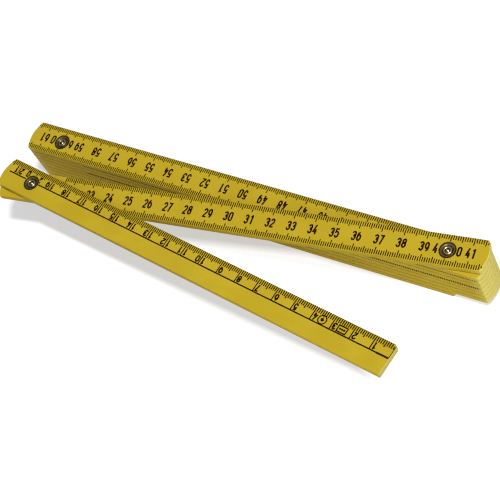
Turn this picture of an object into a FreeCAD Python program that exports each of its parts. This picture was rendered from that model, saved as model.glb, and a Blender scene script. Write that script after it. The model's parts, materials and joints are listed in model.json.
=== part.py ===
import FreeCAD, Part

# Two-metre folding rule: ten moulded plastic leaves in a zigzag, joined end over end by nine
# rivets with a dished spring washer under each rivet lip.
#
# Row frame: +Z is up and along every rivet. The folded leaves lie one on another along X. The
# origin is on the underside of the lowest leaf, midway between its two rivet columns. The free
# ends (readings 0 and 200) point to +X. Leaf 1 is on top, and leaves 1 and 2 stand half open.
import math
import os

import Sketcher

# The driving dimensions, in millimetres and degrees: alias, value, meaning.
DIMENSIONS = (
    ("leaf_width", 14.5, "width of a leaf"),
    ("leaf_thickness", 2.9, "thickness of a leaf"),
    ("leaf_pitch", 3.0, "height from one leaf to the next"),
    ("rivet_span", 200.0, "distance between the two rivets of a leaf"),
    ("end_overhang", 17.5, "from a rivet to the tip of the leaf"),
    ("end_radius", 16.0, "radius of the bowed leaf end"),
    ("corner_radius", 0.8, "radius of the upright corners of a leaf"),
    ("zero_chamfer", 1.3, "corner cut at the zero mark"),
    ("edge_radius", 0.4, "radius of a leaf's long edges"),
    ("seat_radius", 3.9, "radius of the washer recess"),
    ("seat_depth", 0.45, "depth of the recess under the washer's rim"),
    ("well_radius", 2.95, "radius of the deeper middle of the recess"),
    ("well_depth", 0.9, "depth of the middle of the recess"),
    ("shank_radius", 1.45, "radius of the rivet's shank"),
    ("dish_radius", 1.05, "radius of the dish inside the rivet's lip"),
    ("dish_depth", 0.1, "depth of the dish, from the washer's face to the dish's floor"),
    ("button_radius", 0.7, "radius of the button in the middle of the dish"),
    ("button_rise", 0.4, "height of the button above the dish's floor"),
    ("lip_radius", 0.45, "radius of the rivet's rolled lip"),
    ("shank_clearance", 0.05, "radial gap round the rivet"),
    ("washer_radius", 3.7, "outer radius of a spring washer"),
    ("washer_thickness", 0.35, "sheet thickness of a spring washer"),
    ("washer_rim_radius", 2.9, "inner radius of the washer's flat rim, below"),
    ("washer_cup_radius", 2.45, "outer radius of the washer's sunk middle, below"),
    ("washer_bend_shift", 0.14, "how much nearer the axis the upper bends are"),
    ("washer_edge_radius", 0.12, "radius of the washer's rim edges"),
    ("tongue_inner_radius", 4.6, "inner radius of the ring tongue round a joint"),
    ("tongue_outer_radius", 5.6, "outer radius of the ring tongue"),
    ("tongue_height", 0.45, "height of the ring tongue"),
    ("groove_gap", 0.12, "radial gap between the tongue and its groove"),
    ("groove_depth", 0.6, "depth of the ring groove"),
    ("detent_radius", 0.4, "radius of a click dimple"),
    ("detent_depth", 0.3, "depth of a click dimple, from the groove's floor"),
    ("stud_radius", 0.28, "radius of a click stud on the tongue"),
    ("stud_height", 0.12, "height of a click stud"),
    ("opening_040", 7.6, "angle between leaf 2 and leaf 3"),
    ("opening_020", 15.5, "angle between leaf 1 and leaf 2"),
)
LEAF_COUNT = 10
READING_STEP = 20  # centimetres of scale from one rivet to the next
DETENT_COUNT = 4  # clicks in one turn: folded, square, straight, square
STUD_COUNT = 2

SHEET = "Dimensions"
PLANE = "XY_Plane"
PROFILE_PLANE = "XZ_Plane"
LEFT, RIGHT = -1, 1  # the side of the folded rule that a rivet is on
ABOVE, BELOW = "above", "below"  # the face of a leaf that a feature is cut into
NEAR = 1e-3  # millimetres: two places closer than this are the same
UP = FreeCAD.Vector(0, 0, 1)
V_AXIS = -2  # a sketch's own name for its upright axis

doc = FreeCAD.newDocument("folding_rule")


def make_sheet():
    """Keep the driving dimensions in a spreadsheet, one alias each."""
    sheet = doc.addObject("Spreadsheet::Sheet", SHEET)
    for row, (alias, value, meaning) in enumerate(DIMENSIONS, start=1):
        sheet.set(f"A{row}", meaning)
        sheet.set(f"B{row}", str(value))
        sheet.setAlias(f"B{row}", alias)
    doc.recompute()
    return sheet


def cell(alias):
    """The formula that reads one driving dimension."""
    return f"{SHEET}.{alias}"


def size(alias):
    """The value of one driving dimension."""
    return float(sheet.get(alias))


def evaluate(item, formula):
    """The present value of a formula."""
    value = item.evalExpression(formula)
    return float(getattr(value, "Value", value))


# ---- Sketches and features ------------------------------------------------------------------


def make_body(label):
    body = doc.addObject("PartDesign::Body", label)
    body.Label = label
    return body


def add_sketch(body, name, role=PLANE, along="0", height="0"):
    """A sketch on one of the body's own origin planes, moved by two formulas."""
    sketch = body.newObject("Sketcher::SketchObject", name)
    plane = next(item for item in body.Origin.OriginFeatures if item.Role == role)
    sketch.AttachmentSupport = [(plane, "")]
    sketch.MapMode = "FlatFace"
    sketch.setExpression("AttachmentOffset.Base.x", along)
    sketch.setExpression("AttachmentOffset.Base.z", height)
    return sketch


def drive(sketch, constraint, name, formula):
    """Add a dimensional constraint whose value is a formula."""
    index = sketch.addConstraint(constraint)
    sketch.renameConstraint(index, name)
    sketch.setExpression(f"Constraints.{name}", formula)


def add_circle(sketch, name, radius, polar=None):
    """A circle on the sketch's origin, or at polar = (distance formula, degrees) from it."""
    across = up = "0"
    if polar:
        distance, degrees = polar
        across = f"({distance}) * cos({degrees})"
        up = f"({distance}) * sin({degrees})"
    x, y = evaluate(sketch, across), evaluate(sketch, up)
    reach = evaluate(sketch, radius)
    circle = sketch.addGeometry(Part.Circle(FreeCAD.Vector(x, y, 0), UP, reach), False)
    if polar:
        far = Sketcher.Constraint("DistanceX", -1, 1, circle, 3, x)
        drive(sketch, far, f"{name}_across", across)
        high = Sketcher.Constraint("DistanceY", -1, 1, circle, 3, y)
        drive(sketch, high, f"{name}_up", up)
    else:
        sketch.addConstraint(Sketcher.Constraint("Coincident", circle, 3, -1, 1))
    drive(sketch, Sketcher.Constraint("Radius", circle, reach), name, radius)


def add_feature(body, kind, name, sketch, length, reverse=False):
    """A Pad or a Pocket of one sketch, with a formula for its length."""
    feature = body.newObject(f"PartDesign::{kind}", name)
    feature.Profile = sketch
    feature.Type = 0
    feature.Reversed = reverse
    feature.setExpression("Length", length)
    sketch.Visibility = False
    return feature


def add_rounding(body, base, name, kind, edges, formula):
    """A Fillet or a Chamfer on the edges of base that pass the test."""
    doc.recompute()
    chosen = [f"Edge{n}" for n, edge in enumerate(base.Shape.Edges, start=1) if edges(edge)]
    feature = body.newObject(f"PartDesign::{kind}", name)
    feature.Base = (base, chosen)
    feature.setExpression("Radius" if kind == "Fillet" else "Size", formula)
    return feature


# ---- Leaves ---------------------------------------------------------------------------------


def end_centre():
    """How far the centre of a bowed end is from the middle of the leaf."""
    return size("rivet_span") / 2 + size("end_overhang") - size("end_radius")


def corner(across, along, free_end):
    """The corner of the outline on one long side (across) at one end (along)."""
    half_width = size("leaf_width") / 2
    if free_end and along == RIGHT:
        reach = size("rivet_span") / 2
    else:
        reach = end_centre() + math.sqrt(size("end_radius") ** 2 - half_width**2)
    return FreeCAD.Vector(along * reach, across * half_width, 0)


def bowed_end(sketch, side):
    """The arc that ends a leaf past its rivet, running anticlockwise."""
    half_turn = math.asin(size("leaf_width") / 2 / size("end_radius"))
    middle = 0 if side == RIGHT else math.pi
    circle = Part.Circle(FreeCAD.Vector(side * end_centre(), 0, 0), UP, size("end_radius"))
    arc = sketch.addGeometry(
        Part.ArcOfCircle(circle, middle - half_turn, middle + half_turn), False
    )
    sketch.addConstraint(Sketcher.Constraint("PointOnObject", arc, 3, -1))
    drive(
        sketch,
        Sketcher.Constraint("DistanceX", -1, 1, arc, 3, side * end_centre()),
        f"end_centre_{arc}",
        f"{side} * ({cell('rivet_span')} / 2 + {cell('end_overhang')} - {cell('end_radius')})",
    )
    drive(
        sketch,
        Sketcher.Constraint("Radius", arc, size("end_radius")),
        f"end_radius_{arc}",
        cell("end_radius"),
    )
    return arc


def square_end(sketch, side):
    """The straight edge that ends a leaf at a free end of the scale, running anticlockwise."""
    low, high = corner(-side, side, True), corner(side, side, True)
    line = sketch.addGeometry(Part.LineSegment(low, high), False)
    sketch.addConstraint(Sketcher.Constraint("Vertical", line))
    drive(
        sketch,
        Sketcher.Constraint("DistanceX", -1, 1, line, 1, low.x),
        f"end_place_{line}",
        f"{side} * {cell('rivet_span')} / 2",
    )
    return line


def long_edge(sketch, side, free_end):
    """One straight long edge of a leaf, at +Y (side 1) or -Y (side -1), running anticlockwise."""
    start, finish = corner(side, side, free_end), corner(side, -side, free_end)
    line = sketch.addGeometry(Part.LineSegment(start, finish), False)
    sketch.addConstraint(Sketcher.Constraint("Horizontal", line))
    drive(
        sketch,
        Sketcher.Constraint("DistanceY", -1, 1, line, 1, start.y),
        f"edge_place_{line}",
        f"{side} * {cell('leaf_width')} / 2",
    )
    return line


def draw_outline(sketch, free_end):
    """The leaf seen from above: two long edges and two ends, the right one square if free."""
    right = (square_end if free_end else bowed_end)(sketch, RIGHT)
    far = long_edge(sketch, 1, free_end)
    left = bowed_end(sketch, LEFT)
    near = long_edge(sketch, -1, free_end)
    loop = (right, far, left, near)
    for edge, following in zip(loop, loop[1:] + loop[:1]):
        sketch.addConstraint(Sketcher.Constraint("Coincident", edge, 2, following, 1))


def is_upright(edge):
    low, high = edge.BoundBox.ZMin, edge.BoundBox.ZMax
    return high - low > size("leaf_thickness") / 2


def at_zero_corner(edge):
    """The upright edge where the zero mark meets the graduated side."""
    box = edge.BoundBox
    return is_upright(edge) and abs(box.XMin - size("rivet_span") / 2) < NEAR and box.YMin > 0


def along_rim(edge):
    """An edge that lies wholly in the leaf's upper or lower face."""
    box = edge.BoundBox
    return box.ZMax - box.ZMin < NEAR


def cut_seat(body, side, face):
    """The stepped recess for a spring washer, and the hole for the rivet."""
    along = f"{side} * {cell('rivet_span')} / 2"
    height = cell("leaf_thickness") if face == ABOVE else "0"
    clear_hole = f"{cell('shank_radius')} + {cell('shank_clearance')}"
    steps = (
        ("Seat", cell("seat_radius"), cell("seat_depth")),
        ("Well", cell("well_radius"), cell("well_depth")),
        ("RivetHole", clear_hole, cell("leaf_thickness")),
    )
    for step, radius, depth in steps:
        sketch = add_sketch(body, f"{step}Sketch", along=along, height=height)
        add_circle(sketch, "rim", radius)
        add_feature(body, "Pocket", step, sketch, depth, reverse=face == BELOW)


def cut_groove(body, side):
    """The ring groove and its click dimples, in the underside of the upper leaf of a joint."""
    along = f"{side} * {cell('rivet_span')} / 2"
    groove = add_sketch(body, "GrooveSketch", along=along)
    add_circle(groove, "inner", f"{cell('tongue_inner_radius')} - {cell('groove_gap')}")
    add_circle(groove, "outer", f"{cell('tongue_outer_radius')} + {cell('groove_gap')}")
    add_feature(body, "Pocket", "Groove", groove, cell("groove_depth"), reverse=True)
    dimples = add_sketch(body, "DimpleSketch", along=along, height=cell("groove_depth"))
    middle = f"({cell('tongue_inner_radius')} + {cell('tongue_outer_radius')}) / 2"
    for number in range(DETENT_COUNT):
        degrees = 45 + number * 360 / DETENT_COUNT
        add_circle(dimples, f"dimple{number}", cell("detent_radius"), (middle, degrees))
    add_feature(body, "Pocket", "Dimples", dimples, cell("detent_depth"), reverse=True)


def raise_tongue(body, side):
    """The ring tongue and its click studs, on top of the lower leaf of a joint."""
    along = f"{side} * {cell('rivet_span')} / 2"
    tongue = add_sketch(body, "TongueSketch", along=along, height=cell("leaf_thickness"))
    add_circle(tongue, "inner", cell("tongue_inner_radius"))
    add_circle(tongue, "outer", cell("tongue_outer_radius"))
    add_feature(body, "Pad", "Tongue", tongue, cell("tongue_height"))
    studs = add_sketch(body, "StudSketch", along=along, height=cell("leaf_thickness"))
    middle = f"({cell('tongue_inner_radius')} + {cell('tongue_outer_radius')}) / 2"
    for number in range(STUD_COUNT):
        degrees = 45 + number * 360 / STUD_COUNT
        add_circle(studs, f"stud{number}", cell("stud_radius"), (middle, degrees))
    rise = f"{cell('tongue_height')} + {cell('stud_height')}"
    add_feature(body, "Pad", "Studs", studs, rise)


def make_leaf(number):
    """One leaf in its folded place at height 0: its rivets are on X, either side of 0."""
    body = make_body(f"leaf_{number:02d}")
    first, last = number == 1, number == LEAF_COUNT
    sketch = add_sketch(body, "Outline")
    draw_outline(sketch, free_end=first or last)
    solid = add_feature(body, "Pad", "Strip", sketch, cell("leaf_thickness"))
    if first:
        solid = add_rounding(
            body, solid, "ZeroCorner", "Chamfer", at_zero_corner, cell("zero_chamfer")
        )
    else:
        solid = add_rounding(
            body, solid, "Corners", "Fillet", is_upright, cell("corner_radius")
        )
    add_rounding(body, solid, "Edges", "Fillet", along_rim, cell("edge_radius"))
    if not last:
        cut_seat(body, rivet_side(number), ABOVE)
        cut_groove(body, rivet_side(number))
    if not first:
        cut_seat(body, rivet_side(number - 1), BELOW)
        raise_tongue(body, rivet_side(number - 1))
    return body


# ---- Rivets and washers ---------------------------------------------------------------------


def draw_profile(sketch, corners):
    """A closed outline of straight lines through corners given as pairs of formulas."""
    points = [
        FreeCAD.Vector(*(evaluate(sketch, formula) for formula in corner)) for corner in corners
    ]
    lines = [
        sketch.addGeometry(Part.LineSegment(start, finish), False)
        for start, finish in zip(points, points[1:] + points[:1])
    ]
    for line, following in zip(lines, lines[1:] + lines[:1]):
        sketch.addConstraint(Sketcher.Constraint("Coincident", line, 2, following, 1))
    for line, point, (across, up) in zip(lines, points, corners):
        far = Sketcher.Constraint("DistanceX", -1, 1, line, 1, point.x)
        drive(sketch, far, f"radius_{line}", across)
        high = Sketcher.Constraint("DistanceY", -1, 1, line, 1, point.y)
        drive(sketch, high, f"height_{line}", up)
    return lines


def turn_profile(body, sketch):
    """A full turn of the profile about the rivet's axis."""
    feature = body.newObject("PartDesign::Revolution", "Turned")
    feature.Profile = sketch
    feature.ReferenceAxis = (sketch, ["V_Axis"])
    feature.Angle = 360
    sketch.Visibility = False
    return feature


def make_washer(label):
    """A dished spring washer. Its sunk middle rests on height 0, its rim stands above."""
    body = make_body(label)
    hole = f"{cell('shank_radius')} + {cell('shank_clearance')}"
    thick, shift = cell("washer_thickness"), cell("washer_bend_shift")
    drop = f"{cell('well_depth')} - {cell('seat_depth')}"
    cup, rim, outside = cell("washer_cup_radius"), cell("washer_rim_radius"), cell("washer_radius")
    sketch = add_sketch(body, "Section", PROFILE_PLANE)
    draw_profile(
        sketch,
        (
            (hole, "0"),
            (cup, "0"),
            (rim, drop),
            (outside, drop),
            (outside, f"{drop} + {thick}"),
            (f"{rim} - {shift}", f"{drop} + {thick}"),
            (f"{cup} - {shift}", thick),
            (hole, thick),
        ),
    )
    turned = turn_profile(body, sketch)
    add_rounding(body, turned, "RimEdges", "Fillet", at_washer_rim, cell("washer_edge_radius"))
    return body


def at_washer_rim(edge):
    round_edge = isinstance(edge.Curve, Part.Circle)
    return round_edge and abs(edge.Curve.Radius - size("washer_radius")) < NEAR


def make_rivet(label):
    """A rivet. Each end is a rolled lip round a dish with a raised button in the middle.

    Height 0 is the lower leaf's underside.
    """
    body = make_body(label)
    button, dish, shank = cell("button_radius"), cell("dish_radius"), cell("shank_radius")
    lip_edge = f"{dish} + 2 * {cell('lip_radius')}"
    low_seat = f"{cell('well_depth')} - {cell('washer_thickness')}"
    low_floor = f"{low_seat} + {cell('dish_depth')}"
    high_seat = f"{cell('leaf_pitch')} + {cell('leaf_thickness')} - ({low_seat})"
    high_floor = f"{high_seat} - {cell('dish_depth')}"
    sketch = add_sketch(body, "Section", PROFILE_PLANE)
    corners = (
        ("0", f"{low_floor} - {cell('button_rise')}"),
        (button, low_floor),
        (dish, low_floor),
        (dish, low_seat),
        (lip_edge, low_seat),
        (shank, low_seat),
        (shank, high_seat),
        (lip_edge, high_seat),
        (dish, high_seat),
        (dish, high_floor),
        (button, high_floor),
        ("0", f"{high_floor} + {cell('button_rise')}"),
    )
    lines = draw_profile(sketch, corners)
    low_button, low_lip, high_lip, high_button = lines[0], lines[3], lines[7], lines[10]
    round_button(sketch, low_button, -1)
    roll_lip(sketch, low_lip, -1)
    roll_lip(sketch, high_lip, 1)
    round_button(sketch, high_button, 1)
    turn_profile(body, sketch)
    return body


def chord_ends(sketch, chord):
    """The left and the right end of a line."""
    line = sketch.Geometry[chord]
    return sorted((line.StartPoint, line.EndPoint), key=lambda point: point.x)


def bow_chord(sketch, chord, way, through, centre_line):
    """Replace a chord by an arc that bulges up (way 1) or down (way -1) through a point."""
    line = sketch.Geometry[chord]
    left, right = chord_ends(sketch, chord)
    arc = sketch.addGeometry(Part.Arc(left, through, right), False)
    sketch.setConstruction(chord, True)
    first, second = (1, 2) if line.StartPoint.x < line.EndPoint.x else (2, 1)
    arc_left, arc_right = (2, 1) if way > 0 else (1, 2)
    sketch.addConstraint(Sketcher.Constraint("Coincident", arc, arc_left, chord, first))
    sketch.addConstraint(Sketcher.Constraint("Coincident", arc, arc_right, chord, second))
    sketch.addConstraint(Sketcher.Constraint("PointOnObject", arc, 3, centre_line))


def roll_lip(sketch, chord, way):
    """Make the chord from the dish to the lip's edge a half round."""
    left, right = chord_ends(sketch, chord)
    crown = (left + right) / 2 + FreeCAD.Vector(0, way * (right.x - left.x) / 2, 0)
    bow_chord(sketch, chord, way, crown, chord)


def round_button(sketch, chord, way):
    """Make the chord from the button's crown to its foot an arc centred on the rivet's axis."""
    crown, foot = chord_ends(sketch, chord)
    rise = abs(crown.y - foot.y)
    radius = (foot.x**2 + rise**2) / (2 * rise)
    turn = math.asin(foot.x / radius) / 2
    shift = FreeCAD.Vector(math.sin(turn), way * (math.cos(turn) - 1), 0)
    bow_chord(sketch, chord, way, crown + shift * radius, V_AXIS)


# ---- Where everything stands ----------------------------------------------------------------


def rivet_side(number):
    """The side that holds the rivet between leaf number and the one under it."""
    return LEFT if number % 2 else RIGHT


def turned_about(pivot, degrees):
    """The placement that turns the folded rule about an upright axis through pivot."""
    rotation = FreeCAD.Rotation(UP, degrees)
    return FreeCAD.Placement(pivot - rotation.multVec(pivot), rotation)


def leaf_placements():
    """The placement of each leaf by number: leaves 3 to 10 folded, 2 and 1 partly open."""
    placements = {}
    half_span = size("rivet_span") / 2
    turn = FreeCAD.Placement()
    for number in range(LEAF_COUNT, 0, -1):
        pivot = FreeCAD.Vector(rivet_side(number) * half_span, 0, 0)
        if number == 2:
            turn = turned_about(pivot, size("opening_040"))
        if number == 1:
            hinge = FreeCAD.Vector(rivet_side(1) * half_span, 0, 0)
            turn = turn.multiply(turned_about(hinge, -size("opening_020")))
        lift = FreeCAD.Vector(0, 0, (LEAF_COUNT - number) * size("leaf_pitch"))
        placements[number] = FreeCAD.Placement(lift, FreeCAD.Rotation()).multiply(turn)
    return placements


def place_joint(number, placements):
    """Make and place the rivet and two washers between leaf number and the leaf under it."""
    reading = number * READING_STEP
    pivot = FreeCAD.Vector(rivet_side(number) * size("rivet_span") / 2, 0, 0)
    under, over = placements[number + 1], placements[number]
    rivet = make_rivet(f"rivet_{reading:03d}")
    rivet.Placement = under.multiply(FreeCAD.Placement(pivot, FreeCAD.Rotation()))
    floor = FreeCAD.Vector(0, 0, size("leaf_thickness") - size("well_depth"))
    upper = make_washer(f"upper_washer_{reading:03d}")
    upper.Placement = over.multiply(FreeCAD.Placement(pivot + floor, FreeCAD.Rotation()))
    roof = FreeCAD.Vector(0, 0, size("well_depth"))
    lower = make_washer(f"lower_washer_{reading:03d}")
    flipped = FreeCAD.Rotation(FreeCAD.Vector(1, 0, 0), 180)
    lower.Placement = under.multiply(FreeCAD.Placement(pivot + roof, flipped))
    return [rivet, upper, lower]


# ---- Checks and output ----------------------------------------------------------------------


def check_document(bodies):
    """Stop if a feature failed, a cut removed nothing or a sub-part isn't one valid solid."""
    width = size("leaf_width")
    for item in doc.Objects:
        if {"Invalid", "Error"} & set(item.State):
            raise RuntimeError(f"{item.Label} failed: {item.State}")
        if item.isDerivedFrom("Sketcher::SketchObject") and item.solve() != 0:
            raise RuntimeError(f"{item.Label} has no solution")
        if item.Label.startswith("Outline") and abs(item.Shape.BoundBox.YLength - width) > NEAR:
            raise RuntimeError(f"{item.Label} isn't as wide as a leaf")
        if item.TypeId == "PartDesign::Pocket":
            if item.Shape.Volume > item.BaseFeature.Shape.Volume - NEAR:
                raise RuntimeError(f"{item.Label} cuts nothing")
    for body in bodies:
        shape = body.Shape
        if shape.isNull() or not shape.isValid() or len(shape.Solids) != 1:
            raise RuntimeError(f"{body.Label} isn't one valid solid")


sheet = make_sheet()
placements = leaf_placements()
nodes = []
for number in range(1, LEAF_COUNT + 1):
    leaf = make_leaf(number)
    leaf.Placement = placements[number]
    nodes.append(leaf)
for number in range(1, LEAF_COUNT):
    nodes.extend(place_joint(number, placements))
doc.recompute()
check_document(nodes)

os.makedirs("parts", exist_ok=True)
for node in nodes:
    node.Shape.exportStep(f"parts/{node.Label}.step")
print(f"{len(nodes)} nodes, {sum(node.Shape.Volume for node in nodes) / 1000:.2f} cm3")
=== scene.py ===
import json
import math

import bpy
from mathutils import Matrix, Vector, geometry

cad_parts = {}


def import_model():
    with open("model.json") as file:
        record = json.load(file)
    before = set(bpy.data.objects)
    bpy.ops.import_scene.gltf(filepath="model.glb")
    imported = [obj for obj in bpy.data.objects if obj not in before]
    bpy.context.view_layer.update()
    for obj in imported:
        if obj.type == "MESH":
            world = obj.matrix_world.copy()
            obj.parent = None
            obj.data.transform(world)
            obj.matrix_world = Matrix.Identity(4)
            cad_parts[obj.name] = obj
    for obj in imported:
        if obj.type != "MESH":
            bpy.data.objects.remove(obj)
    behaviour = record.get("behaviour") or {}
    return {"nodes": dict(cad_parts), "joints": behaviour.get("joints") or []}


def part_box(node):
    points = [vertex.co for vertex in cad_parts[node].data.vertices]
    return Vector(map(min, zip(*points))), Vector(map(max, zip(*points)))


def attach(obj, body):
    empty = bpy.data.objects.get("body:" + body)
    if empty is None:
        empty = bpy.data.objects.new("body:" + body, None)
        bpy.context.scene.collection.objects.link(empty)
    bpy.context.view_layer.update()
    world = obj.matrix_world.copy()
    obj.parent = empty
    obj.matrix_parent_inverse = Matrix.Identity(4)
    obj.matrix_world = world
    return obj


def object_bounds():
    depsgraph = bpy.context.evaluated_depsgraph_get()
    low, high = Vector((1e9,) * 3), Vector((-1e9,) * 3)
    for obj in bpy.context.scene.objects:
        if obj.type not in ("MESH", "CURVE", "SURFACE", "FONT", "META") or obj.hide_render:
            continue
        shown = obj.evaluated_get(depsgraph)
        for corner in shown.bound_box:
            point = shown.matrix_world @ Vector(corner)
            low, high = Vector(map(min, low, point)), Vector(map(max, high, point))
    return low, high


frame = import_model()
CAD_BOX = [list(corner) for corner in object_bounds()]
SCENE = bpy.context.scene
MM = 0.001

# ---------------------------------------------------------------- the rule's own measures, in mm
LEAVES = 10
CM_PER_LEAF = 20
EDGE_ROUNDING = 0.4
lowest, highest = (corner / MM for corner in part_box("leaf_05"))
HALF_WIDTH = (highest.y - lowest.y) / 2
HALF_SPAN = frame["joints"][1]["pos_m"][0] / MM
THICKNESS = (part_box("leaf_01")[1].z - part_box("leaf_01")[0].z) / MM
WASHER_RADIUS = (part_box("upper_washer_040")[1].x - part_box("upper_washer_040")[0].x) / 2 / MM
JOINT_AT = {joint["name"]: joint for joint in frame["joints"]}
LEAF_PITCH = (JOINT_AT["joint_040"]["pos_m"][2] - JOINT_AT["joint_060"]["pos_m"][2]) / MM


def reads_along_x(leaf):
    """+1 where a leaf's readings grow along +X, -1 where they grow along -X."""
    return 1 if leaf % 2 == 0 else -1


def leaf_seats():
    """For each leaf: the matrix from the closed stack to its place at rest, and its top and bottom heights."""
    seats = {}
    turned = 0.0
    for leaf in range(LEAVES, 0, -1):
        place = Matrix.Identity(4)
        if leaf < LEAVES:
            joint = JOINT_AT[f"joint_{CM_PER_LEAF * leaf:03d}"]
            turned -= joint["range_deg"][0] * joint["axis"][2]
            rivet = Vector((reads_along_x(leaf) * HALF_SPAN, 0, 0))
            pivot = Vector(joint["pos_m"]) / MM
            pivot.z = 0
            turn = Matrix.Rotation(math.radians(turned), 4, "Z")
            place = Matrix.Translation(pivot) @ turn @ Matrix.Translation(-rivet)
        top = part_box("leaf_01")[1].z / MM - (leaf - 1) * LEAF_PITCH
        seats[leaf] = (place, top, top - THICKNESS)
    return seats


SEATS = leaf_seats()

# ---------------------------------------------------------------- printing: films of ink laid on a leaf
FILM = 0.02  # height of the ink over the plastic, mm
SUNK = 0.01  # depth of the film's back in the plastic, mm


def skin(across, lift):
    """Offset across the leaf and height over its face of a point on the skin, which rounds the leaf's edges."""
    side = math.copysign(1, across)
    flat = HALF_WIDTH - EDGE_ROUNDING
    run = abs(across) - flat
    if run <= 0:
        return across, lift
    angle = min(run / EDGE_ROUNDING, math.pi / 2)
    past = max(0.0, run - EDGE_ROUNDING * math.pi / 2)
    radius = EDGE_ROUNDING + lift
    return side * (flat + radius * math.sin(angle)), radius * math.cos(angle) - EDGE_ROUNDING - past


def on_leaf(leaf, under, along, across, lift):
    """Row-frame point, in metres, of a place in the reader's own frame: along the scale, and up the digits."""
    place, top, bottom = SEATS[leaf]
    way = reads_along_x(leaf)
    offset, height = skin(across, lift)
    if under:
        return place @ Vector((way * along, -way * offset, bottom - height)) * MM
    return place @ Vector((way * along, way * offset, top + height)) * MM


def film(name, leaf, under, points, faces):
    """A closed film of ink over flat faces, given counter-clockwise as the reader sees them."""
    count = len(points)
    verts = [on_leaf(leaf, under, u, v, FILM) for u, v in points]
    verts += [on_leaf(leaf, under, u, v, -SUNK) for u, v in points]
    edges = dict.fromkeys(edge for face in faces for edge in zip(face, face[1:] + face[:1]))
    solid = [tuple(face) for face in faces]
    solid += [tuple(count + i for i in reversed(face)) for face in faces]
    solid += [(count + a, count + b, b, a) for a, b in edges if (b, a) not in edges]
    mesh = bpy.data.meshes.new(name)
    mesh.from_pydata(verts, [], solid)
    mesh.validate()
    mesh.materials.append(INK)
    piece = bpy.data.objects.new(name, mesh)
    SCENE.collection.objects.link(piece)
    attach(piece, f"section_{leaf:02d}")


CDT_FILL = 1  # the triangles inside the constraints
CDT_EPSILON = 1e-5


def filled(outlines, cuts=()):
    """Points and triangles of a union of outlines, each with an optional hole, less the cut polygons."""
    points, faces, rules = [], [], []

    def take(polygon):
        start = len(points)
        turn = sum(a[0] * b[1] - b[0] * a[1] for a, b in zip(polygon, polygon[1:] + polygon[:1]))
        points.extend(Vector(p) for p in (polygon if turn > 0 else polygon[::-1]))
        faces.append(list(range(start, len(points))))
        return len(faces) - 1

    for outer, hole in outlines:
        rules.append((take(outer), take(hole) if hole else None))
    removed = [take(cut) for cut in cuts]
    spots, _, triangles, _, _, owners = geometry.delaunay_2d_cdt(points, [], faces, CDT_FILL, CDT_EPSILON)
    kept = []
    for triangle, own in zip(triangles, owners):
        covered = any(outer in own and hole not in own for outer, hole in rules)
        if covered and not any(cut in own for cut in removed):
            a, b, c = (spots[i] for i in triangle)
            kept.append(list(triangle) if (b - a).cross(c - a) > 0 else list(reversed(triangle)))
    used = sorted({i for face in kept for i in face})
    index = {old: new for new, old in enumerate(used)}
    return [tuple(spots[i]) for i in used], [[index[i] for i in face] for face in kept]


# ---------------------------------------------------------------- digits, drawn as strokes
DIGIT_HEIGHT = 4.6
DIGIT_WIDTH = 2.1
STROKE = 0.76
ARC_STEPS = 8  # to a half turn
SHARPEST = 0.3  # the least cosine used at a corner of a stroke


def arc(x, y, rx, ry, start, end, steps=None):
    """Points of an elliptical arc, angles in degrees."""
    steps = steps or max(2, round(ARC_STEPS * abs(end - start) / 180))
    angles = [math.radians(start + (end - start) * i / steps) for i in range(steps + 1)]
    return [(x + rx * math.cos(a), y + ry * math.sin(a)) for a in angles]


def ribbon(path, closed, width):
    """Outline of a stroke along a path: (outer polygon, hole or None)."""
    path = [Vector(p) for p in path]
    count = len(path)
    sides = ([], [])
    for i, p in enumerate(path):
        before = path[i - 1] if closed or i else None
        after = path[(i + 1) % count] if closed or i < count - 1 else None
        ways = [(q - r).normalized() for q, r in ((p, before), (after, p)) if q is not None and r is not None]
        normals = [Vector((-w.y, w.x)) for w in ways]
        middle = sum(normals, Vector((0, 0))).normalized()
        reach = min(width / 2 / max(middle.dot(normals[0]), SHARPEST), width)
        for side, sign in zip(sides, (1, -1)):
            side.append(tuple(p + sign * reach * middle))
    if not closed:
        return sides[0] + sides[1][::-1], None
    longer = max(sides, key=lambda s: sum((Vector(a) - Vector(b)).length for a, b in zip(s, s[1:])))
    return longer, sides[1] if longer is sides[0] else sides[0]


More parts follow.
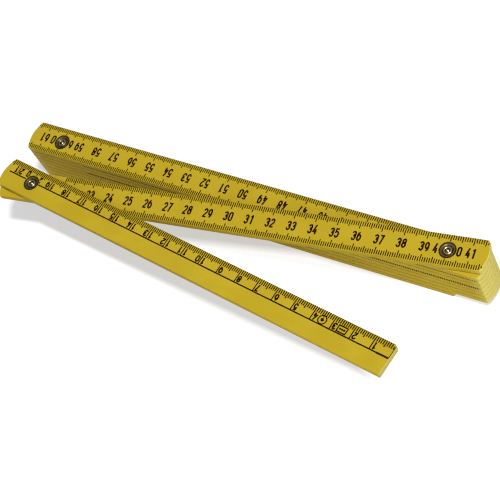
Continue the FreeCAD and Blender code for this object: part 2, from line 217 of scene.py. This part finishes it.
def digit_strokes(height, width, stroke):
    """Centre lines of the ten digits in a box centred on the origin: {digit: [(path, closed), ...]}."""
    x = (width - stroke) / 2
    y = (height - stroke) / 2
    end = height / 2
    low, mid, bar, waist = (share * height for share in (0.29, 0.06, -0.22, 0.035))
    six = arc(0, low - y, x, low, 0, 360, 16)[:-1]
    stem = [(-x, low - y)] + arc(0.35 * x, mid, 1.35 * x, y - mid, 180, 97, 5)
    turned = [[(-u, -v) for u, v in path] for path in (six, stem)]
    foot = [(-x + 0.12, -y + 0.5), (-x + 0.02, -y), (x + 0.1, -y)]
    flag = [(x, y), (-x + 0.12, y), (-x + 0.04, mid)]
    upper, lower = 0.225 * height, 0.26 * height
    return {
        "0": [(arc(0, y - x, x, x, 0, 180) + arc(0, x - y, x, x, 180, 360), True)],
        "1": [([(0.3 * x, -end), (0.3 * x, end)], False), ([(0.3 * x, y - 0.08), (-0.75 * x, y - x)], False)],
        "2": [(arc(0, y - 0.24 * height, x, 0.24 * height, 172, -28) + foot, False)],
        "3": [
            (arc(-0.04, y - upper, x, upper, 165, -78) + [(-0.12, waist)], False),
            ([(-0.12, waist)] + arc(-0.04, lower - y, x + 0.02, lower, 76, -165), False),
        ],
        "4": [
            ([(0.3 * x, end), (-x, bar), (x + 0.18, bar)], False),
            ([(0.5 * x, mid), (0.5 * x, -end)], False),
        ],
        "5": [(flag + arc(-0.03, 0.27 * height - y, x, 0.3 * height, 118, -162), False)],
        "6": [(six, True), (stem, False)],
        "7": [([(-x - 0.1, y), (x, y), (0.45 * x, 0.1 * height), (-0.35 * x, -end)], False)],
        "8": [
            (arc(0, y - 0.215 * height, 0.9 * x, 0.215 * height, 0, 360, 14)[:-1], True),
            (arc(0, 0.265 * height - y - 0.02, x, 0.245 * height, 0, 360, 16)[:-1], True),
        ],
        "9": [(turned[0], True), (turned[1], False)],
    }


def digit_set(height, width, stroke):
    """Outlines of the ten digits."""
    drawn = digit_strokes(height, width, stroke)
    return {key: [ribbon(path, closed, stroke) for path, closed in strokes] for key, strokes in drawn.items()}


LARGE = digit_set(DIGIT_HEIGHT, DIGIT_WIDTH, STROKE)
LARGE_FILLED = {key: filled(outlines) for key, outlines in LARGE.items()}

# ---------------------------------------------------------------- materials


def new_material(name):
    """A material with its tree and its shader."""
    material = bpy.data.materials.new(name)
    material.use_nodes = True
    tree = material.node_tree
    return material, tree, tree.nodes["Principled BSDF"]


def add_node(tree, kind, inputs=None, **settings):
    """A node with its settings, then its input sockets set to values or linked from other sockets."""
    node = tree.nodes.new(kind)
    for key, value in settings.items():
        setattr(node, key, value)
    for key, value in (inputs or {}).items():
        if isinstance(value, bpy.types.NodeSocket):
            tree.links.new(value, node.inputs[key])
        else:
            node.inputs[key].default_value = value
    return node


def noise_at(tree, where, scale, detail, roughness=0.5, stretch=(1, 1, 1)):
    """Noise over the object's own coordinates, in metres."""
    placed = add_node(tree, "ShaderNodeMapping", {"Vector": where, "Scale": stretch}).outputs[0]
    inputs = {"Vector": placed, "Scale": scale, "Detail": detail, "Roughness": roughness}
    return add_node(tree, "ShaderNodeTexNoise", inputs).outputs[0]


def ranged(tree, value, low, high, to_low=0.0, to_high=1.0):
    """A value stretched from one range onto another, clamped."""
    inputs = {0: value, 1: low, 2: high, 3: to_low, 4: to_high}
    return add_node(tree, "ShaderNodeMapRange", inputs).outputs[0]


def blended(tree, share, first, second):
    """A colour between two, each a colour or a socket."""
    first, second = ((*colour, 1) if isinstance(colour, tuple) else colour for colour in (first, second))
    return add_node(tree, "ShaderNodeMix", {0: share, 6: first, 7: second}, data_type="RGBA").outputs[2]


def computed(tree, operation, *values):
    """The result of a maths node on numbers or sockets."""
    return add_node(tree, "ShaderNodeMath", dict(enumerate(values)), operation=operation).outputs[0]


def coordinates(tree, name="Object"):
    """A texture coordinate, and its three parts."""
    where = tree.nodes.new("ShaderNodeTexCoord").outputs[name]
    return where, add_node(tree, "ShaderNodeSeparateXYZ", {0: where}).outputs


def grained(tree, shader, height, strength, distance):
    """Relief from a height."""
    bump = add_node(tree, "ShaderNodeBump", {"Height": height, "Strength": strength, "Distance": distance})
    tree.links.new(bump.outputs[0], shader.inputs["Normal"])


GOLD = (0.400, 0.284, 0.012), (0.436, 0.316, 0.015)  # the printed faces, darker and lighter
GOLD_STREAK = (0.362, 0.252, 0.010)
GOLD_SPECK = (0.48, 0.345, 0.02)
SIDE_PLAIN = (0.385, 0.274, 0.015), (0.335, 0.230, 0.011)
# darker side colour, laid on as painted shade
SIDE_SHADED = (0.270, 0.174, 0.0075)
END_SHEEN = (0.385, 0.337, 0.090), (0.53, 0.447, 0.112)  # painted sheen on the ends, paler and whiter: inner ends and outer tips
SHADE_LEFT, SHADE_RIGHT = (-0.115, -0.05, 0.2, 0.8), (0.06, -0.03, 0.0, 0.8)  # two ramps along x for the painted shade on the sides
TIP_FROM, TIP_TO, TIP_SHARE = 0.1108, 0.1150, 0.45  # sides near the tips get part of the painted end sheen too
SHEEN_FROM, SHEEN_TO = 0.1005, 0.108  # distances from the middle, in metres
PLASTIC_IOR = 1.45


def plastic():
    """Satin golden-yellow moulded leaf: faint flow streaks and speckle, painted shade on the sides, and a paler
    painted sheen on the ends.
    """
    material, tree, shader = new_material("leaf_plastic")
    where, (place, _, _) = coordinates(tree)
    facing = coordinates(tree, "Normal")[1]
    streaks = noise_at(tree, where, scale=260, detail=4.0, roughness=0.55, stretch=(0.12, 1, 1))
    mottling = noise_at(tree, where, scale=55, detail=2.0, roughness=0.5)
    speckle = noise_at(tree, where, scale=3200, detail=2.0, roughness=0.6)
    patches = noise_at(tree, where, scale=900, detail=3.0, roughness=0.6)
    golden = blended(tree, ranged(tree, mottling, 0.35, 0.65), *GOLD)
    streaked = blended(tree, ranged(tree, streaks, 0.35, 0.75, 0.0, 0.35), golden, GOLD_STREAK)
    dotted = blended(tree, ranged(tree, speckle, 0.62, 0.80, 0.0, 0.45), streaked, GOLD_SPECK)
    plain_side = blended(tree, ranged(tree, streaks, 0.35, 0.70), *SIDE_PLAIN)
    # painted shade on the sides: strongest a little left of the middle, fading towards both ends
    side_shade = computed(tree, "MINIMUM", ranged(tree, place, *SHADE_RIGHT), ranged(tree, place, *SHADE_LEFT))
    side = blended(tree, side_shade, plain_side, SIDE_SHADED)
    upright = computed(tree, "ABSOLUTE", facing[2])  # 1 on the printed faces, 0 on the sides and ends
    square = computed(tree, "MULTIPLY", upright, upright)
    level = computed(tree, "SQRT", computed(tree, "SUBTRACT", 1.0, square))
    faced = ranged(tree, upright, 0.55, 0.93)
    lengthways = computed(tree, "ABSOLUTE", facing[0])
    heading = computed(tree, "DIVIDE", lengthways, computed(tree, "MAXIMUM", level, 0.05))  # 1 on the ends
    from_middle = computed(tree, "ABSOLUTE", place)
    near_tip = ranged(tree, from_middle, TIP_FROM, TIP_TO, 0.0, TIP_SHARE)
    endwise = computed(tree, "MAXIMUM", ranged(tree, heading, 0.40, 0.86), near_tip)
    endwise = computed(tree, "MULTIPLY", endwise, ranged(tree, upright, 0.98, 0.85))
    # painted sheen: the ends paler and whiter, more at the outer tips than at the inner ends
    end_sheen = blended(tree, ranged(tree, from_middle, SHEEN_FROM, SHEEN_TO), *END_SHEEN)
    colour = blended(tree, computed(tree, "MULTIPLY", endwise, 0.9), blended(tree, faced, side, dotted), end_sheen)
    tree.links.new(colour, shader.inputs["Base Color"])
    satin = ranged(tree, patches, 0.3, 0.7, 0.36, 0.50)
    rough = computed(tree, "ADD", satin, computed(tree, "MULTIPLY", endwise, 0.12))
    tree.links.new(rough, shader.inputs["Roughness"])
    shader.inputs["IOR"].default_value = PLASTIC_IOR
    tree.links.new(ranged(tree, faced, 0.0, 1.0, 0.02, 0.14), shader.inputs["Specular IOR Level"])
    orange_peel = noise_at(tree, where, scale=700, detail=3.0, roughness=0.6)
    relief = computed(tree, "ADD", computed(tree, "MULTIPLY", speckle, 0.6), orange_peel)
    grained(tree, shader, relief, strength=0.35, distance=0.00003)
    return material


INK_BLACK = (0.010, 0.0025, 0.0002), (0.018, 0.007, 0.0005)
INK_THIN = (0.060, 0.034, 0.003)


def ink():
    """Brown-black printing ink, a little thin in places."""
    material, tree, shader = new_material("print_ink")
    where = coordinates(tree)[0]
    thin = noise_at(tree, where, scale=1500, detail=3.0, roughness=0.65)
    broad = noise_at(tree, where, scale=120, detail=2.0, roughness=0.5)
    dark = blended(tree, ranged(tree, broad, 0.3, 0.7), *INK_BLACK)
    worn = blended(tree, ranged(tree, thin, 0.60, 0.80, 0.0, 0.6), dark, INK_THIN)
    tree.links.new(worn, shader.inputs["Base Color"])
    tree.links.new(ranged(tree, thin, 0.3, 0.7, 0.42, 0.62), shader.inputs["Roughness"])
    shader.inputs["Specular IOR Level"].default_value = 0.0
    grained(tree, shader, thin, strength=0.3, distance=0.00002)
    return material


def from_nearest_rivet(tree, parts):
    """Distance, in mm, to the upright axis of the nearest rivet."""
    nearest = None
    for pivot in {tuple(joint["pos_m"][:2]) for joint in frame["joints"]}:
        squares = []
        for part, centre in zip(parts, pivot):
            offset = computed(tree, "SUBTRACT", part, centre)
            squares.append(computed(tree, "MULTIPLY", offset, offset))
        reach = computed(tree, "SQRT", computed(tree, "ADD", *squares))
        nearest = reach if nearest is None else computed(tree, "MINIMUM", nearest, reach)
    return computed(tree, "DIVIDE", nearest, MM)


STEEL_SOIL = (0.030, 0.020, 0.008)
STEEL_SCUFF = (0.76, 0.66, 0.42)
LATHE_RINGS = 38.0  # radians to a mm of radius
# Washer colours by radius: painted shade by the rivet and at the rim, a paler painted sheen on the band
# between.
WASHER_PAINTED_SHADING = (  # radius in mm, colour
    (1.9, (0.070, 0.046, 0.018)),
    (2.3, (0.14, 0.096, 0.036)),
    (2.7, (0.40, 0.30, 0.13)),
    (3.0, (0.28, 0.20, 0.080)),
    (3.35, (0.045, 0.030, 0.010)),
)
# Rivet colours by radius: a painted highlight on the centre button, painted shade in the groove round it, a
# paler painted sheen on the rolled lip.
RIVET_PAINTED_SHADING = (
    (0.6, (0.98, 0.84, 0.52)),
    (0.8, (0.12, 0.080, 0.035)),
    (1.15, (0.22, 0.16, 0.075)),
    (1.4, (0.72, 0.60, 0.36)),
    (1.85, (0.50, 0.41, 0.23)),
)


def steel(name, shading_tones, roughness):
    """Turned steel: painted highlight, sheen and shade in rings by distance from the axis, fine lathe rings,
    grime and scuffs.
    """
    material, tree, shader = new_material(name)
    where, parts = coordinates(tree)
    radius = from_nearest_rivet(tree, parts)
    # the painted highlight, sheen and shade, in rings round the nearest rivet's axis
    ramp = add_node(tree, "ShaderNodeValToRGB", {0: computed(tree, "DIVIDE", radius, WASHER_RADIUS)})
    stops = ramp.color_ramp.elements
    while len(stops) < len(shading_tones):
        stops.new(1.0)
    for stop, (reach, colour) in zip(stops, shading_tones):
        stop.position = reach / WASHER_RADIUS
        stop.color = (*colour, 1)
    grime = noise_at(tree, where, scale=420, detail=3.0, roughness=0.6)
    scuffs = noise_at(tree, where, scale=2600, detail=4.0, roughness=0.65, stretch=(1, 0.25, 1))
    more_at_left = ranged(tree, parts[0], -0.09, 0.09, 0.7, 0.3)
    soiling = computed(tree, "MULTIPLY", ranged(tree, grime, 0.40, 0.66), more_at_left)
    soiled = blended(tree, soiling, ramp.outputs[0], STEEL_SOIL)
    scuffed = blended(tree, ranged(tree, scuffs, 0.60, 0.78, 0.0, 0.35), soiled, STEEL_SCUFF)
    tree.links.new(scuffed, shader.inputs["Base Color"])
    rough = ranged(tree, scuffs, 0.3, 0.7, roughness - 0.06, roughness + 0.12)
    tree.links.new(rough, shader.inputs["Roughness"])
    shader.inputs["Metallic"].default_value = 1.0
    rings = computed(tree, "SINE", computed(tree, "MULTIPLY", radius, LATHE_RINGS))
    relief = computed(tree, "ADD", computed(tree, "MULTIPLY", rings, 0.15), scuffs)
    grained(tree, shader, relief, strength=0.25, distance=0.00002)
    return material


PLASTIC = plastic()
INK = ink()
WASHER = steel("washer_steel_worn_and_shaded", WASHER_PAINTED_SHADING, 0.30)
RIVET = steel("rivet_steel_worn_and_shaded", RIVET_PAINTED_SHADING, 0.24)

for name, node in frame["nodes"].items():
    finish = PLASTIC if name.startswith("leaf") else RIVET if name.startswith("rivet") else WASHER
    for held in node.material_slots:
        held.link = "OBJECT"
        held.material = finish

# ---------------------------------------------------------------- the printed scales
TICK_WIDTH = 0.47
LENGTHS = (2.35, 3.1, 3.6)  # millimetre, half centimetre and centimetre lines
LABEL_PITCH = 2.3  # from digit to digit
WASHER_CLEAR = 4.05  # radius kept free of ink round a rivet
BEYOND_RIVET = 16  # mm of scale past a rivet
HIDDEN_BY_NEXT = 15  # mm of scale under the end of the next leaf
WRAP = 30  # degrees that a line runs round a long edge
WRAP_STEPS = 3
SIDE_PRINT = {(6, -1): (90, 0.55), (4, -1): (75, 0.0)}  # (leaf, side): degrees round the edge, mm down the side
END_INSETS = {15: 0.05, 16: 0.95}  # lines cut short by a leaf's round end, by mm past the rivet
FIRST_INSET = 0.75  # the same for the first line, at the zero end's chamfer
RING_STEPS = 28


def line_across(u, edge, length, wrap=WRAP, past=0.0, clear=0.0, width=TICK_WIDTH, start=0.0):
    """Outline of a scale line, in from a long edge (+1 up the digits, -1 down) and a little round that edge."""
    flat = HALF_WIDTH - EDGE_ROUNDING
    stops = [max(HALF_WIDTH - length, clear), flat - start]
    if not start:
        stops += [flat + EDGE_ROUNDING * math.radians(wrap) * i / WRAP_STEPS for i in range(1, WRAP_STEPS + 1)]
        if past:
            stops.append(flat + EDGE_ROUNDING * math.pi / 2 + past)
    there = [(u - width / 2, edge * v) for v in stops]
    back = [(u + width / 2, edge * v) for v in reversed(stops)]
    return there + back, None


def along(leaf, reading):
    """Place along the reader's frame, in mm, of a reading in mm."""
    return reading - CM_PER_LEAF * 10 * (leaf - 1) - HALF_SPAN


def line_length(reading, lengths):
    """Length of the line at a reading in mm: millimetre, half centimetre or centimetre."""
    return lengths[2] if reading % 10 == 0 else lengths[1] if reading % 5 == 0 else lengths[0]


def edge_scale(leaf, under, first, last):
    """Lines at both long edges, from one reading in mm to another."""
    rivet = CM_PER_LEAF * 10 * (leaf - 1 if under else leaf)
    outlines = []
    for edge in (1, -1):
        row_side = edge * reads_along_x(leaf)
        wrap, past = (WRAP, 0.0) if under else SIDE_PRINT.get((leaf, row_side), (WRAP, 0.0))
        for reading in range(first, last + 1):
            clear = WASHER_CLEAR if reading == rivet else 0.0
            beyond = rivet - reading if under else reading - rivet
            start = FIRST_INSET if reading == 1 else END_INSETS.get(beyond, 0.0)
            length = line_length(reading, LENGTHS)
            outlines.append(line_across(along(leaf, reading), edge, length, wrap, past, clear, start=start))
    return filled(outlines)


def labels(leaf, readings, rivet_cm):
    """Centimetre numbers along the middle of the leaf; the one at the rivet is parted round the washer."""
    points, faces = [], []
    for reading in readings:
        text = str(reading)
        places = [(i - (len(text) - 1) / 2) * LABEL_PITCH for i in range(len(text))]
        if reading == rivet_cm:
            half = len(text) // 2
            reach = WASHER_CLEAR + DIGIT_WIDTH / 2
            places = [-reach - (half - 1 - i) * LABEL_PITCH for i in range(half)]
            places += [reach + i * LABEL_PITCH for i in range(len(text) - half)]
        for digit, place in zip(text, places):
            start, shift = len(points), along(leaf, 10 * reading) + place
            points += [(u + shift, v) for u, v in LARGE_FILLED[digit][0]]
            faces += [[start + i for i in face] for face in LARGE_FILLED[digit][1]]
    return points, faces


def ring(u, v, radius, steps=RING_STEPS):
    """A circle as a polygon."""
    return arc(u, v, radius, radius, 0, 360, steps)[:-1]


def box_of(u, v, width, height):
    """A rectangle about a point."""
    return [(u + a * width / 2, v + b * height / 2) for a, b in ((-1, -1), (1, -1), (1, 1), (-1, 1))]


def shifted(outline, shift):
    """An outline and its hole, moved along the scale and across it."""
    return tuple(part and [(u + shift[0], v + shift[1]) for u, v in part] for part in outline)


TICK_WIDTH_LEAF_1 = 0.54
LENGTHS_LEAF_1 = (2.6, 3.3, 6.45)
ZERO_SHIFT, ZERO_WIDTH, ZERO_INSET = 0.45, 0.34, 0.9  # the zero line, just inside the end
BASE_LINE = -0.6
BASE_THICKNESS = 0.62
BASE_END = 14.6  # mm past the rivet
BASE_THICK_START = (6.0, 0.85)  # length and thickness of the base line's start
SMALL_MIDDLE = -2.75
STRADDLE = 1.5  # a small digit's distance from its centimetre line
PARTED = ((-3.3, 0.0), (4.3, -0.5))  # the two digits at the rivet
SMALL = digit_set(height=3.4, width=2.0, stroke=0.72)
ROUND_MARK, ROUND_MARK_DROP = 34.8, 0.1  # its reading, and how far it sits under the digits' middle
RING_OUTER, RING_INNER, RING_DIAMOND = 2.2, 1.65, 1.0
BOX_MARK, BOX_OUTER, BOX_INNER, BOX_DIAMOND = 24.7, (4.9, 3.4), (3.7, 2.2), 0.62
DIAMOND = 4  # corners


def first_leaf_scale():
    """Leaf 1: lines at one edge only; a base line joins their feet from the zero line to the rounded end."""
    zero = along(1, 0) + ZERO_SHIFT
    outlines = [line_across(zero, -1, LENGTHS_LEAF_1[2], width=ZERO_WIDTH, start=ZERO_INSET)]
    for reading in range(1, 10 * CM_PER_LEAF + BEYOND_RIVET + 1):
        start = FIRST_INSET if reading == 1 else END_INSETS.get(reading - 10 * CM_PER_LEAF, 0.0)
        length = line_length(reading, LENGTHS_LEAF_1)
        outlines.append(line_across(along(1, reading), -1, length, width=TICK_WIDTH_LEAF_1, start=start))
    end = HALF_SPAN + BASE_END
    outlines.append((box_of((zero + end) / 2, BASE_LINE, end - zero, BASE_THICKNESS), None))
    outlines.append((box_of(zero + BASE_THICK_START[0] / 2, BASE_LINE, *BASE_THICK_START), None))
    return filled(outlines, [ring(HALF_SPAN, 0, WASHER_CLEAR)])


def first_leaf_labels():
    """Small numbers beside the centimetre lines, and two plain marks in place of the class marks."""
    outlines = []
    for reading in range(1, CM_PER_LEAF + 2):
        text = str(reading)
        spots = PARTED if reading == CM_PER_LEAF else ((-STRADDLE, 0.0), (STRADDLE, 0.0))
        for digit, (aside, raised) in zip(text, spots):
            place = (along(1, 10 * reading) + aside, SMALL_MIDDLE + raised)
            outlines += [shifted(outline, place) for outline in SMALL[digit]]
    spot = (along(1, ROUND_MARK), SMALL_MIDDLE - ROUND_MARK_DROP)
    outlines += [(ring(*spot, RING_OUTER), ring(*spot, RING_INNER)), (ring(*spot, RING_DIAMOND, DIAMOND), None)]
    spot = (along(1, BOX_MARK), SMALL_MIDDLE)
    outlines.append((box_of(*spot, *BOX_OUTER), box_of(*spot, *BOX_INNER)))
    for shift in (-1, 0, 1):
        outlines.append((ring(along(1, BOX_MARK + shift), SMALL_MIDDLE, BOX_DIAMOND, DIAMOND), None))
    return filled(outlines, [ring(HALF_SPAN, 0, WASHER_CLEAR)])


film("scale_01", 1, False, *first_leaf_scale())
film("numbers_01", 1, False, *first_leaf_labels())
for leaf in range(1, LEAVES + 1):
    low, high = CM_PER_LEAF * (leaf - 1), CM_PER_LEAF * leaf
    open_end = leaf == LEAVES
    if leaf > 1:
        last = high * 10 - 1 if open_end else high * 10 + BEYOND_RIVET
        film(f"scale_{leaf:02d}", leaf, False, *edge_scale(leaf, False, low * 10 + HIDDEN_BY_NEXT, last))
        readings = range(low + 2, high + 2 - 2 * open_end)
        film(f"numbers_{leaf:02d}", leaf, False, *labels(leaf, readings, high))
    first = 1 if leaf == 1 else low * 10 - BEYOND_RIVET
    last = high * 10 - (1 if open_end else HIDDEN_BY_NEXT)
    film(f"back_scale_{leaf:02d}", leaf, True, *edge_scale(leaf, True, first, last))
    readings = range(max(low - 1, 1), high - 1 + open_end)
    film(f"back_numbers_{leaf:02d}", leaf, True, *labels(leaf, readings, low))

# ---------------------------------------------------------------- floor, light and camera
rest_low, rest_high = (Vector(c) for c in CAD_BOX)
middle = (rest_low + rest_high) / 2


def beside(leaf, insets):
    """A line on the floor, inside a leaf's front edge by one inset at its left and another 200 mm on."""
    place = SEATS[leaf][0]
    ends = zip((-HALF_SPAN, HALF_SPAN), insets)
    return [(place @ Vector((u, inset - HALF_WIDTH, 0)) * MM).xy for u, inset in ends]


def in_front_of(tree, parts, line, soft):
    """0 behind a line on the floor, growing to 1 in front of it over a soft width."""
    way = (line[1] - line[0]).normalized()
    reach = [computed(tree, "MULTIPLY", part, share) for part, share in zip(parts, (way.y, -way.x))]
    edge = line[0].dot(Vector((way.y, -way.x)))
    return ranged(tree, computed(tree, "ADD", *reach), edge - soft / 2, edge + soft / 2)


FLOOR_HALF = 6.0
FLOOR_GAP = 0.00006  # keeps the floor clear of the rule's lowest faces
FLOOR_TONES = (0.42, 0.42, 0.43), (0.44, 0.44, 0.45)
FLOOR_GLOW = (0.98, 0.98, 1.0, 1)
GLOW_OFF, GLOW_ON = 0.50, 0.86  # strength in natural shadow, and where a shadow is trimmed away
# Lines on the floor: leaf, insets in mm at the two ends of its front edge, softness in metres.
OUTER_SHADOW = (1, (0.2, 6.7), 0.0025)
INNER_SHADOW = (2, (2.2, 12.7), 0.004)
STACK_SHADOW = (10, (-2.5, 0.4), 0.003)
UNDER_LEAF_1 = (1, (20.5, 20.5), 0.003)
WELL_BEFORE = (1, (-30.0, -30.0), 0.02)
TIP_X = (0.074, 0.084)  # where the shadow of leaf 1 ends
ASIDE_X = (0.14, 0.16)  # past the rule's right end


def floor():
    """A wide pale floor just under the rule; a local glow trims the shadows to those of a leaning rule."""
    corners = ((-1, -1), (1, -1), (1, 1), (-1, 1))
    height = rest_low.z - FLOOR_GAP
    mesh = bpy.data.meshes.new("floor")
    mesh.from_pydata([(FLOOR_HALF * x, FLOOR_HALF * y, height) for x, y in corners], [], [(0, 1, 2, 3)])
    ground = bpy.data.objects.new("floor", mesh)
    SCENE.collection.objects.link(ground)
    material, tree, shader = new_material("pale_floor")
    where, parts = coordinates(tree)
    clouds = noise_at(tree, where, scale=3, detail=2.0)
    tree.links.new(blended(tree, clouds, *FLOOR_TONES), shader.inputs["Base Color"])
    before_leaf_1, before_leaf_2, before_stack, past_leaf_1, afar = (
        in_front_of(tree, parts, beside(leaf, insets), soft)
        for leaf, insets, soft in (OUTER_SHADOW, INNER_SHADOW, STACK_SHADOW, UNDER_LEAF_1, WELL_BEFORE)
    )
    past_tip = ranged(tree, parts[0], *TIP_X)
    aside = ranged(tree, parts[0], *ASIDE_X)
    outer = computed(tree, "MAXIMUM", computed(tree, "MINIMUM", before_leaf_1, before_leaf_2), past_tip)
    inner = computed(tree, "SUBTRACT", 1.0, computed(tree, "MAXIMUM", past_leaf_1, past_tip))
    inner = computed(tree, "MULTIPLY", inner, before_leaf_2)
    trimmed = computed(tree, "MINIMUM", computed(tree, "MAXIMUM", outer, inner), before_stack)
    local = computed(tree, "SUBTRACT", 1.0, computed(tree, "MAXIMUM", afar, aside))
    glow = ranged(tree, computed(tree, "MULTIPLY", trimmed, local), 0.0, 1.0, GLOW_OFF, GLOW_ON)
    tree.links.new(glow, shader.inputs["Emission Strength"])
    shader.inputs["Emission Color"].default_value = FLOOR_GLOW
    shader.inputs["Roughness"].default_value = 0.9
    shader.inputs["Specular IOR Level"].default_value = 0.1
    mesh.materials.append(material)


WORLD_STRENGTH = 0.48
WORLD_LOW, WORLD_HIGH = (0.80, 0.80, 0.81), (0.60, 0.60, 0.61)


def world():
    """Soft light from all round, a little brighter near the horizon."""
    sky = bpy.data.worlds.new("studio")
    SCENE.world = sky
    sky.use_nodes = True
    tree = sky.node_tree
    height = coordinates(tree, "Generated")[1][2]
    background = tree.nodes["Background"]
    tree.links.new(blended(tree, ranged(tree, height, 0.0, 0.8), WORLD_LOW, WORLD_HIGH), background.inputs[0])
    background.inputs[1].default_value = WORLD_STRENGTH


def area_light(name, position, target, size, power, colour=(1, 1, 1)):
    """A square soft box aimed at a point."""
    light = bpy.data.lights.new(name, "AREA")
    light.shape = "SQUARE"
    light.size = size
    light.energy = power
    light.color = colour
    holder = bpy.data.objects.new(name, light)
    SCENE.collection.objects.link(holder)
    holder.location = position
    holder.rotation_mode = "QUATERNION"
    holder.rotation_quaternion = (target - position).to_track_quat("-Z", "Y")


KEY_FROM = Vector((0.96, -0.15, 3.0))
FILL_FROM, FILL_AT = Vector((0.42, -0.38, 0.18)), Vector((0.11, 0.03, 0))
FILL_COLOUR = (0.94, 1, 1)

floor()
world()
area_light("key", middle + KEY_FROM, middle, size=0.39, power=98.0)
area_light("fill", middle + FILL_FROM, middle + FILL_AT, size=0.25, power=1.2, colour=FILL_COLOUR)


SENSOR = 36
NEAR, FAR = 0.01, 100
AIM = (0.01128, -0.02028, 0.015)


def camera(azimuth, elevation, roll, distance, aim, lens):
    """Camera on a sphere round the aim point; azimuth 0 looks along +Y, and roll turns it about its axis."""
    a, e, r = (math.radians(v) for v in (azimuth, elevation, roll))
    back = Vector((math.sin(a) * math.cos(e), -math.cos(a) * math.cos(e), math.sin(e)))
    level_up = (Vector((0, 0, 1)) - back.z * back).normalized()
    level_right = level_up.cross(back)
    up = math.cos(r) * level_up + math.sin(r) * level_right
    right = up.cross(back)
    data = bpy.data.cameras.new("camera")
    data.sensor_width = SENSOR
    data.lens = lens
    holder = bpy.data.objects.new("camera", data)
    SCENE.collection.objects.link(holder)
    turn = Matrix((right, up, back)).transposed().to_4x4()
    holder.matrix_world = Matrix.Translation(Vector(aim) + distance * back) @ turn
    data.clip_start, data.clip_end = NEAR, FAR
    SCENE.camera = holder


camera(azimuth=55.31, elevation=53.60, roll=32.27, distance=0.7354, aim=AIM, lens=123.41)
SCENE.view_settings.view_transform = "Standard"
SCENE.cycles.filter_width = 1.25
SCENE.cycles.denoising_prefilter = "NONE"
